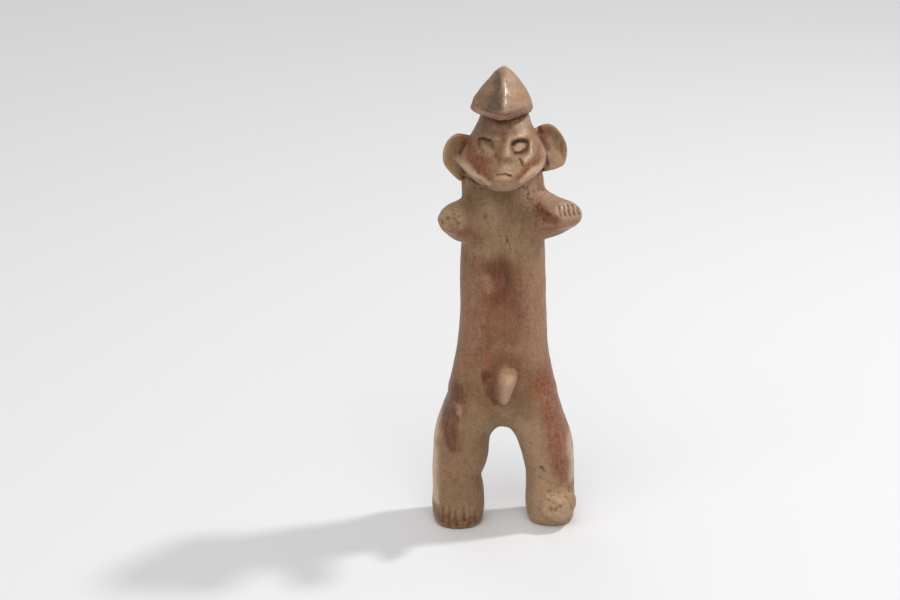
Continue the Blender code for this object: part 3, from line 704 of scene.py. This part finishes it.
def clay_noise(points, sizes, seed):
    """Even random numbers from -1 to 1 at the corners of a grid, eased between by 3t^2 - 2t^3."""
    table = np.random.default_rng(seed).uniform(-1, 1, (NOISE_CELLS, NOISE_CELLS, NOISE_CELLS))
    place = points / np.array(sizes)
    cell = np.floor(place).astype(int)
    t = place - cell
    t = t * t * (3 - 2 * t)
    total = 0
    for corner in np.ndindex(2, 2, 2):
        share = np.prod(np.where(corner, t, 1 - t), axis=1)
        total = total + share * table[tuple(((cell + corner) % NOISE_CELLS).T)]
    return total


def layered_noise(points, size, seed, layers=3):
    """A sum of noises, each half as large and half as strong as the one before."""
    total = 0
    for layer in range(layers):
        total = total + clay_noise(points, [size / 2**layer] * 3, seed + layer) / 2**layer
    return total


def path_distance(x, z, path):
    """How far each point is from a path of straight runs, and how far along it the nearest place is."""
    nearest = np.full_like(x, np.inf)
    place = np.zeros_like(x)
    for run, ((ax, az), (bx, bz)) in enumerate(zip(path, path[1:])):
        run_x, run_z = bx - ax, bz - az
        along = np.clip(((x - ax) * run_x + (z - az) * run_z) / (run_x**2 + run_z**2), 0, 1)
        away = np.hypot(x - ax - along * run_x, z - az - along * run_z)
        place = np.where(away < nearest, (run + along) / (len(path) - 1), place)
        nearest = np.minimum(nearest, away)
    return nearest, place


def stroke(x, z, rises, reaches, path):
    """The rise a tool or a finger leaves: rise * exp(-(distance / reach)^2) along the path."""
    nearest, place = path_distance(x, z, path)
    rise = rises[0] + (rises[1] - rises[0]) * place
    reach = reaches[0] + (reaches[1] - reaches[0]) * place
    return rise * np.exp(-((nearest / reach) ** 2))


def row_of_cuts(first, last, count):
    """Short straight cuts side by side, from the first to the last."""
    first, last = np.array(first), np.array(last)
    return [first + (last - first) * k / (count - 1) for k in range(count)]


def pricked(x, z, cluster, seed):
    """Small round holes at even random places in a cluster: depth * exp(-(distance / width)^2)."""
    middle_x, middle_z, half_width, half_height, count, depth, width = cluster
    chance = np.random.default_rng(seed)
    holes = chance.uniform(-1, 1, (count, 2)) * (half_width, half_height) + (middle_x, middle_z)
    deep = chance.uniform(SHALLOWEST_PRICK, 1, count) * depth
    margin = PRICK_REACH * width
    near = (abs(x - middle_x) < half_width + margin) & (abs(z - middle_z) < half_height + margin)
    away = (x[near, None] - holes[:, 0]) ** 2 + (z[near, None] - holes[:, 1]) ** 2
    rise = np.zeros_like(x)
    rise[near] = -(deep * np.exp(-away / width**2)).max(1)
    return rise


def oval(x, z, middle_x, middle_z, half_width, half_height, crispness):
    """A soft oval, 1 at its middle: exp(-distance^crispness), the distance in half sizes."""
    away = np.hypot((x - middle_x) / half_width, (z - middle_z) / half_height)
    return np.exp(-(away**crispness))


def patch(x, z, middle_x, middle_z, half_width, half_height):
    """A soft rectangle, 1 at its middle: exp(-across^4 - up^4), both in half sizes."""
    across, up = (x - middle_x) / half_width, (z - middle_z) / half_height
    return np.exp(-(across**4) - up**4)


def front_shares(points):
    """Where points lie across and up the figure, in shares of its height."""
    return points[:, 0] / HEIGHT, points[:, 2] / HEIGHT


def marks(points, kind, layers=3):
    """A layered noise with the strength, size and seed of its kind."""
    strength, size, seed = kind
    return strength * layered_noise(points, size, seed, layers)


def strayed(points, stray, layers):
    """The same shares, each shifted by noise, so that no edge runs straight."""
    reach, size, seeds = stray
    shifts = (reach * layered_noise(points, size, seed, layers) for seed in seeds)
    return [share + shift for share, shift in zip(front_shares(points), shifts)]


def carved(mesh):
    """Pulls the front of the clay towards the viewer or pushes it in, following the tables."""
    points, normals = positions(mesh), directions(mesh)
    x, z = strayed(points, CARVE_STRAY, 2)
    rise = np.zeros_like(x)
    for rises, reaches, path in STROKES.values():
        rise += stroke(x, z, rises, reaches, path)
    for height, *spot in SPOTS.values():
        rise += height * oval(x, z, *spot)
    for cut in row_of_cuts(FINGER_FROM, FINGER_TO, FINGERS):
        rise += stroke(x, z, *FINGER_CUT, cut)
    for notch in TOES:
        rise += stroke(x, z, *TOE_CUT, notch)
    for seed, cluster in enumerate(PRICKS.values()):
        rise += pricked(x, z, cluster, seed)
    facing = np.clip(-FACING_GAIN * normals[:, 1], 0, 1)
    points[:, 1] -= rise * facing * HEIGHT
    return points


def kneaded(mesh):
    """Moves the skin along its outward direction by a sum of noises.

    Hands leave broad dents, rubbing leaves upright marks and the coarse clay leaves grain. Small
    pits stand where one noise is above a level. The lump on the foot is two to three times as
    rough and has a crust of its own, and the face and the cap were rubbed smoother.
    """
    points, normals = positions(mesh), directions(mesh)
    x, z = front_shares(points)
    lump = patch(x, z, *ROUGH_LUMP)
    smooth = patch(x, z, *SMOOTH_FACE)
    fine = 1 + 2 * lump - 0.5 * smooth
    rise = marks(points, DENTS) * (1 + lump)
    height, size, seed = RUB_MARKS
    rise += height * clay_noise(points, size, seed) * (1 - 0.7 * smooth)
    rise += marks(points, GRAIN, 2) * fine
    height, size, seed = CRUST
    rise += height * (CRUST_LEVEL - abs(layered_noise(points, size, seed))) * lump
    depth, size, seed = PITS
    pits = clay_noise(points, [size] * 3, seed)
    rise -= depth * np.clip(pits - PIT_LEVEL, 0, 1) * (fine - 0.4)
    return points + normals * rise[:, None]


def averaged(values, pairs, times):
    """Replaces each value by the mean of its neighbours', so many times over."""
    count = len(values)
    ways = np.bincount(pairs.ravel(), minlength=count).clip(1)
    first, second = pairs.T
    for _ in range(times):
        total = [
            np.bincount(first, column[second], count) + np.bincount(second, column[first], count)
            for column in values.T
        ]
        values = np.stack(total, 1) / ways[:, None]
    return values


def rubbed(mesh):
    """Rubs joints and corners over: the front moves towards its smoothed self there."""
    points = positions(mesh)
    x, z = front_shares(points)
    weight = np.zeros_like(x)
    for spot in RUBBED:
        weight = np.maximum(weight, oval(x, z, *spot, RUB_EDGE) * (points[:, 1] < 0))
    smooth = averaged(points, neighbour_pairs(mesh), RUB_STROKES)
    return points + weight[:, None] * (smooth - points)


def hollows(mesh, times):
    """How far the smoothed skin lies outside the skin: positive in cuts, negative on ridges."""
    points = positions(mesh)
    smooth = averaged(points, neighbour_pairs(mesh), times)
    return ((smooth - points) * directions(mesh)).sum(1)


def stained(mesh):
    """Gives each vertex its shares of slip, pale wear with painted highlights, dark soil with painted shade,
    and gloss, and how deep it lies.
    """
    points, normals = positions(mesh), directions(mesh)
    x, z = strayed(points, STAIN_STRAY, 4)
    front = np.clip(0.5 - FRONT_GAIN * normals[:, 1], 0, 1)
    shares = np.tile(BARE, (len(points), 1))
    for values, reaches, path in STAINS.values():
        nearest, place = path_distance(x, z, path)
        reach = reaches[0] + (reaches[1] - reaches[0]) * place
        cover = front * np.exp(-((nearest / reach) ** STAIN_FADE))
        shares += cover[:, None] * (values - shares)
    shares[:, 0] += marks(points, SLIP_CLOUDS) + marks(points, SLIP_PATCHES)
    shares[:, 2] += marks(points, SOIL_PATCHES)
    deep = hollows(mesh, CUT_STROKES) / MM
    broad = hollows(mesh, HOLLOW_STROKES) / MM
    columns = (*shares.T, np.clip(deep, -1, 1), np.clip(broad, -1, 1))
    for name, values in zip(LAYERS, columns):
        layer = mesh.attributes.new(name, "FLOAT", "POINT")
        layer.data.foreach_set("value", values)


def set_down(clay):
    """Cuts the soles flat and fits the figure to the box of the imported part."""
    shape = bmesh.new()
    shape.from_mesh(clay.data)
    whole = shape.verts[:] + shape.edges[:] + shape.faces[:]
    bmesh.ops.bisect_plane(shape, geom=whole, plane_co=(0, 0, 0), plane_no=(0, 0, 1), clear_inner=True)
    rims = [edge for edge in shape.edges if edge.is_boundary]
    bmesh.ops.holes_fill(shape, edges=rims, sides=0)
    bmesh.ops.triangulate(shape, faces=[face for face in shape.faces if len(face.verts) > 4])
    shape.to_mesh(clay.data)
    shape.free()
    points = positions(clay.data)
    low, high = points.min(0), points.max(0)
    middle = (np.array(CAD_LOW) + np.array(CAD_HIGH)) / 2
    points -= ((low[0] + high[0]) / 2, (low[1] + high[1]) / 2, low[2])
    points *= HEIGHT / (high[2] - low[2])
    points += (middle[0], middle[1], CAD_LOW[2])
    clay.data.vertices.foreach_set("co", points.ravel())
    clay.data.update()


def add(tree, kind, sockets=None, **settings):
    """Adds a shader node, gives it its settings, and sets or links its sockets."""
    made = tree.nodes.new("ShaderNode" + kind)
    for name, value in settings.items():
        setattr(made, name, value)
    for place, value in (sockets or {}).items():
        if isinstance(value, bpy.types.NodeSocket):
            tree.links.new(value, made.inputs[place])
        else:
            made.inputs[place].default_value = value
    return made


def slipped_terracotta(settings):
    """Low-fired terracotta that was hand rubbed with a red slip and has lain in the ground.

    The slip is dull and reddish brown, glossy enough to catch a lamp where it is whole. It wore
    down in upright strokes to a matte buff soil that is baked on, with pale clay on the rubbed
    edges and dark dirt in the cuts. The pale colour also paints highlights, sheen and lit sides,
    the grime colour paints shade, and the dirt colour paints shade into creases and hollows.
    """
    material = bpy.data.materials.new("slipped_terracotta")
    material.use_nodes = True
    tree = material.node_tree
    shader = tree.nodes["Principled BSDF"]
    place = add(tree, "TexCoord").outputs["Object"]
    squeezed = {"Vector": place, "Scale": (1, 1, STREAK_SQUEEZE)}
    upright_place = add(tree, "Mapping", squeezed).outputs[0]
    other_place = add(tree, "Mapping", {"Vector": place, "Location": OTHER_PLACE}).outputs[0]

    def share(name):
        return add(tree, "Attribute", attribute_name=name).outputs["Fac"]

    def mixed(factor, first, second):
        made = add(tree, "Mix", {0: factor, 6: first, 7: second}, data_type="RGBA")
        return made.outputs[2]

    def pattern(name, vector):
        size, detail, roughness = PATTERNS[name]
        sockets = {"Vector": vector, "Scale": 1 / (size * MM), "Detail": detail, "Roughness": roughness}
        return add(tree, "TexNoise", sockets).outputs["Fac"]

    def sum_of(first, second, times=1):
        return add(tree, "Math", {0: second, 1: times, 2: first}, operation="MULTIPLY_ADD").outputs[0]

    def ranged(value, low, high, to_low=0, to_high=1):
        sockets = {"Value": value, "From Min": low, "From Max": high, "To Min": to_low, "To Max": to_high}
        return add(tree, "MapRange", sockets, clamp=True).outputs[0]

    def swung(value, noise, swing, edge=0.25):
        return sum_of(value, ranged(noise, edge, 1 - edge, -swing, swing))

    streaks = pattern("streaks", upright_place)
    grain = pattern("grain", place)
    cloud = pattern("cloud", place)
    flecks = pattern("flecks", other_place)
    dots = pattern("dots", other_place)
    slip, dark_slip = (*settings.slip, 1), (*settings.dark_slip, 1)
    soil, dark_soil = (*settings.soil, 1), (*settings.dark_soil, 1)
    dirt = (*settings.dirt, 1)

    # The slip breaks up along its brush strokes and over the grain of the clay.
    slip_value = swung(share("slip_share"), streaks, 0.24, 0.2)
    slip_value = swung(slip_value, grain, 0.14, 0.2)
    slip_value = swung(slip_value, cloud, 0.22, 0.2)
    slip_cover = ranged(slip_value, 0.08, 0.84)
    slip_tone = mixed(ranged(streaks, 0.3, 0.64), dark_slip, slip)
    slip_tone = mixed(ranged(cloud, 0.4, 0.65, 0, 0.5), slip_tone, slip)
    soil_tone = mixed(ranged(cloud, 0.35, 0.6), dark_soil, soil)
    soil_tone = mixed(ranged(grain, 0.3, 0.7, 0.1, 0.7), soil_tone, soil)
    colour = mixed(slip_cover, soil_tone, slip_tone)

    # Rubbed edges are pale, and grime fills the streaks between the strokes. The same pale colour
    # is painted on as highlights, sheen and lit sides, and the grime colour as shade and shadow.
    worn_and_lit = sum_of(share("wear_and_light_share"), share("cut_depth"), -1.2)
    worn_and_lit = swung(worn_and_lit, flecks, 0.26)
    colour = mixed(ranged(worn_and_lit, 0.05, 1.15, 0, WEAR_AND_LIGHT_COVER), colour, (*settings.wear, 1))
    soiled_and_shaded = swung(share("soil_and_shade_share"), cloud, 0.3)
    soiled_and_shaded = swung(soiled_and_shaded, grain, 0.18)
    soiled_and_shaded = swung(soiled_and_shaded, streaks, -0.4)
    colour = mixed(ranged(soiled_and_shaded, 0.15, 1.35, 0, GRIME_AND_SHADE_COVER), colour, (*settings.grime, 1))

    # Dirt lies in the specks and in the cuts. The same dark colour is painted as shade into
    # creases and broad hollows, darker the deeper they lie.
    colour = mixed(ranged(dots, 0.3, 0.22, 0, DOT_COVER), colour, dirt)
    cut = sum_of(ranged(grain, 0.25, 0.75, -0.2, 0.2), share("cut_depth"), 4.0)
    cut = sum_of(cut, share("hollow_depth"), 0.25)
    colour = mixed(ranged(cut, 0.25, 1.5, 0, DIRT_AND_SHADE_COVER), colour, dirt)
    tree.links.new(colour, shader.inputs["Base Color"])

    # Whole slip is burnished and the soil is dull.
    gloss = ranged(slip_cover, 0, 1, DULL, BURNISHED)
    gloss = sum_of(gloss, share("gloss_share"), -GLOSS_SMOOTHS)
    gloss = swung(gloss, grain, -GRAIN_SMOOTHS)
    tree.links.new(gloss, shader.inputs["Roughness"])
    shine = ranged(share("gloss_share"), 0, 1, FAINT_SHINE, FULL_SHINE)
    tree.links.new(shine, shader.inputs["Specular IOR Level"])

    # The grain of the clay, its open specks and the marks of the strokes, softer under the slip.
    relief = sum_of(ranged(dots, 0.26, 0.34, -1.2, 0), grain, 1.1)
    relief = sum_of(relief, streaks, 0.6)
    soft = sum_of(ranged(slip_cover, 0, 1, 1, 0.6), share("gloss_share"), -0.35)
    bump = add(tree, "Bump", {"Height": relief, "Strength": soft, "Distance": BUMP_HEIGHT})
    tree.links.new(bump.outputs[0], shader.inputs["Normal"])
    shader.inputs["IOR"].default_value = 1.5
    shader.inputs["Sheen Weight"].default_value = 0.12
    shader.inputs["Sheen Roughness"].default_value = 0.35
    shader.inputs["Metallic"].default_value = 0
    return material


class FIGURE_OT_model(bpy.types.Operator):
    """Press, rub, carve and slip the clay figure"""

    bl_idname = "figure.model"
    bl_label = "Model the figure"

    def execute(self, context):
        settings = context.scene.figure_clay
        masses = [
            upright(TRUNK, TRUNK_CORNERS),
            upright(LEFT_LEG, LEG_CORNERS),
            upright(RIGHT_LEG, LEG_CORNERS),
            stub_arm(LEFT_ARM),
            stub_arm(RIGHT_ARM),
            ball(SHOULDER_WEB),
        ]
        body = pressed("body", masses, settings.body_grain, settings.body_strokes)
        masses = [
            as_mass(body),
            upright(HEAD, HEAD_CORNERS),
            upright(CAP, CAP_CORNERS),
            plate_ear(LEFT_EAR_OUTLINE, LEFT_EAR),
            plate_ear(RIGHT_EAR_OUTLINE, RIGHT_EAR),
            ball(FOOT_LUMP),
            upright(DROP),
            upright(SIDE_LUMP),
        ]
        figure = pressed("clay_figure", masses, settings.skin_grain, settings.skin_strokes)
        for change in (rubbed, carved, kneaded):
            moved = change(figure.data)
            figure.data.vertices.foreach_set("co", moved.ravel())
            figure.data.update()
        count = sum(len(face.vertices) - 2 for face in figure.data.polygons)
        fewer = figure.modifiers.new("fewer faces", "DECIMATE")
        fewer.ratio = min(1.0, settings.triangles / count)
        baked(figure)
        stained(figure.data)
        set_down(figure)
        figure.data.materials.clear()
        figure.data.materials.append(slipped_terracotta(settings))
        figure.data.shade_smooth()
        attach(figure, "root")
        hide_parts("fetish_figure")
        return {"FINISHED"}


class FIGURE_OT_stage(bpy.types.Operator):
    """Set the table, the lamps and the camera"""

    bl_idname = "figure.stage"
    bl_label = "Set the stage"

    def execute(self, context):
        scene = context.scene
        settings = scene.figure_studio
        half = settings.table_size / 2
        corners = [(-half, -half, 0), (half, -half, 0), (half, half, 0), (-half, half, 0)]
        table = as_object("table", [(corners, [[0, 1, 2, 3]])])
        paper = bpy.data.materials.new("matte_white_board")
        paper.use_nodes = True
        shader = paper.node_tree.nodes["Principled BSDF"]
        shader.inputs["Base Color"].default_value = (*settings.table_colour, 1)
        shader.inputs["Roughness"].default_value = 0.9
        table.data.materials.append(paper)

        aim = Vector((settings.aim_side, settings.aim_depth, settings.aim_height))
        back = Vector((0, -math.cos(settings.elevation), math.sin(settings.elevation)))
        lens = bpy.data.cameras.new("camera")
        lens.lens = settings.lens
        lens.sensor_width = 36
        camera = bpy.data.objects.new("camera", lens)
        camera.location = aim + back * settings.distance
        camera.rotation_euler = (-back).to_track_quat("-Z", "Y").to_euler()
        scene.collection.objects.link(camera)
        scene.camera = camera

        for name, place, size, power in (
            ("lamp", LAMP_PLACE, settings.lamp_size, settings.lamp_power),
            ("top_fill", *TOP_FILL, settings.fill_power),
            ("side_fill", *SIDE_FILL, settings.side_power),
            ("back_fill", *BACK_FILL, settings.side_power),
        ):
            light = bpy.data.lights.new(name, "AREA")
            light.shape = "DISK"
            light.size = size
            light.energy = power
            made = bpy.data.objects.new(name, light)
            made.location = place
            beam = Vector(LIGHTS_AIM) - Vector(place)
            made.rotation_euler = beam.to_track_quat("-Z", "Y").to_euler()
            scene.collection.objects.link(made)
        room = bpy.data.worlds.new("white_room")
        room.use_nodes = True
        background = room.node_tree.nodes["Background"]
        background.inputs["Color"].default_value = (1, 1, 1, 1)
        background.inputs["Strength"].default_value = settings.sky
        scene.world = room
        scene.view_settings.view_transform = "Standard"
        return {"FINISHED"}


class FIGURE_PT_panel(bpy.types.Panel):
    """Lists the steps and their settings"""

    bl_label = "Fetish figure"
    bl_idname = "FIGURE_PT_panel"
    bl_space_type = "VIEW_3D"
    bl_region_type = "UI"
    bl_category = "Figure"

    def draw(self, context):
        scene = context.scene
        for operator, settings in (
            (FIGURE_OT_model, scene.figure_clay),
            (FIGURE_OT_stage, scene.figure_studio),
        ):
            self.layout.operator(operator.bl_idname)
            for name in settings.bl_rna.properties.keys():
                if name not in ("rna_type", "name"):
                    self.layout.prop(settings, name)


CLASSES = (ClaySettings, StudioSettings, FIGURE_OT_model, FIGURE_OT_stage, FIGURE_PT_panel)


def register():
    for kind in CLASSES:
        bpy.utils.register_class(kind)
    bpy.types.Scene.figure_clay = bpy.props.PointerProperty(type=ClaySettings)
    bpy.types.Scene.figure_studio = bpy.props.PointerProperty(type=StudioSettings)


def unregister():
    del bpy.types.Scene.figure_studio
    del bpy.types.Scene.figure_clay
    for kind in reversed(CLASSES):
        bpy.utils.unregister_class(kind)


def main():
    register()
    bpy.ops.figure.model()
    bpy.ops.figure.stage()


if __name__ == "__main__":
    main()
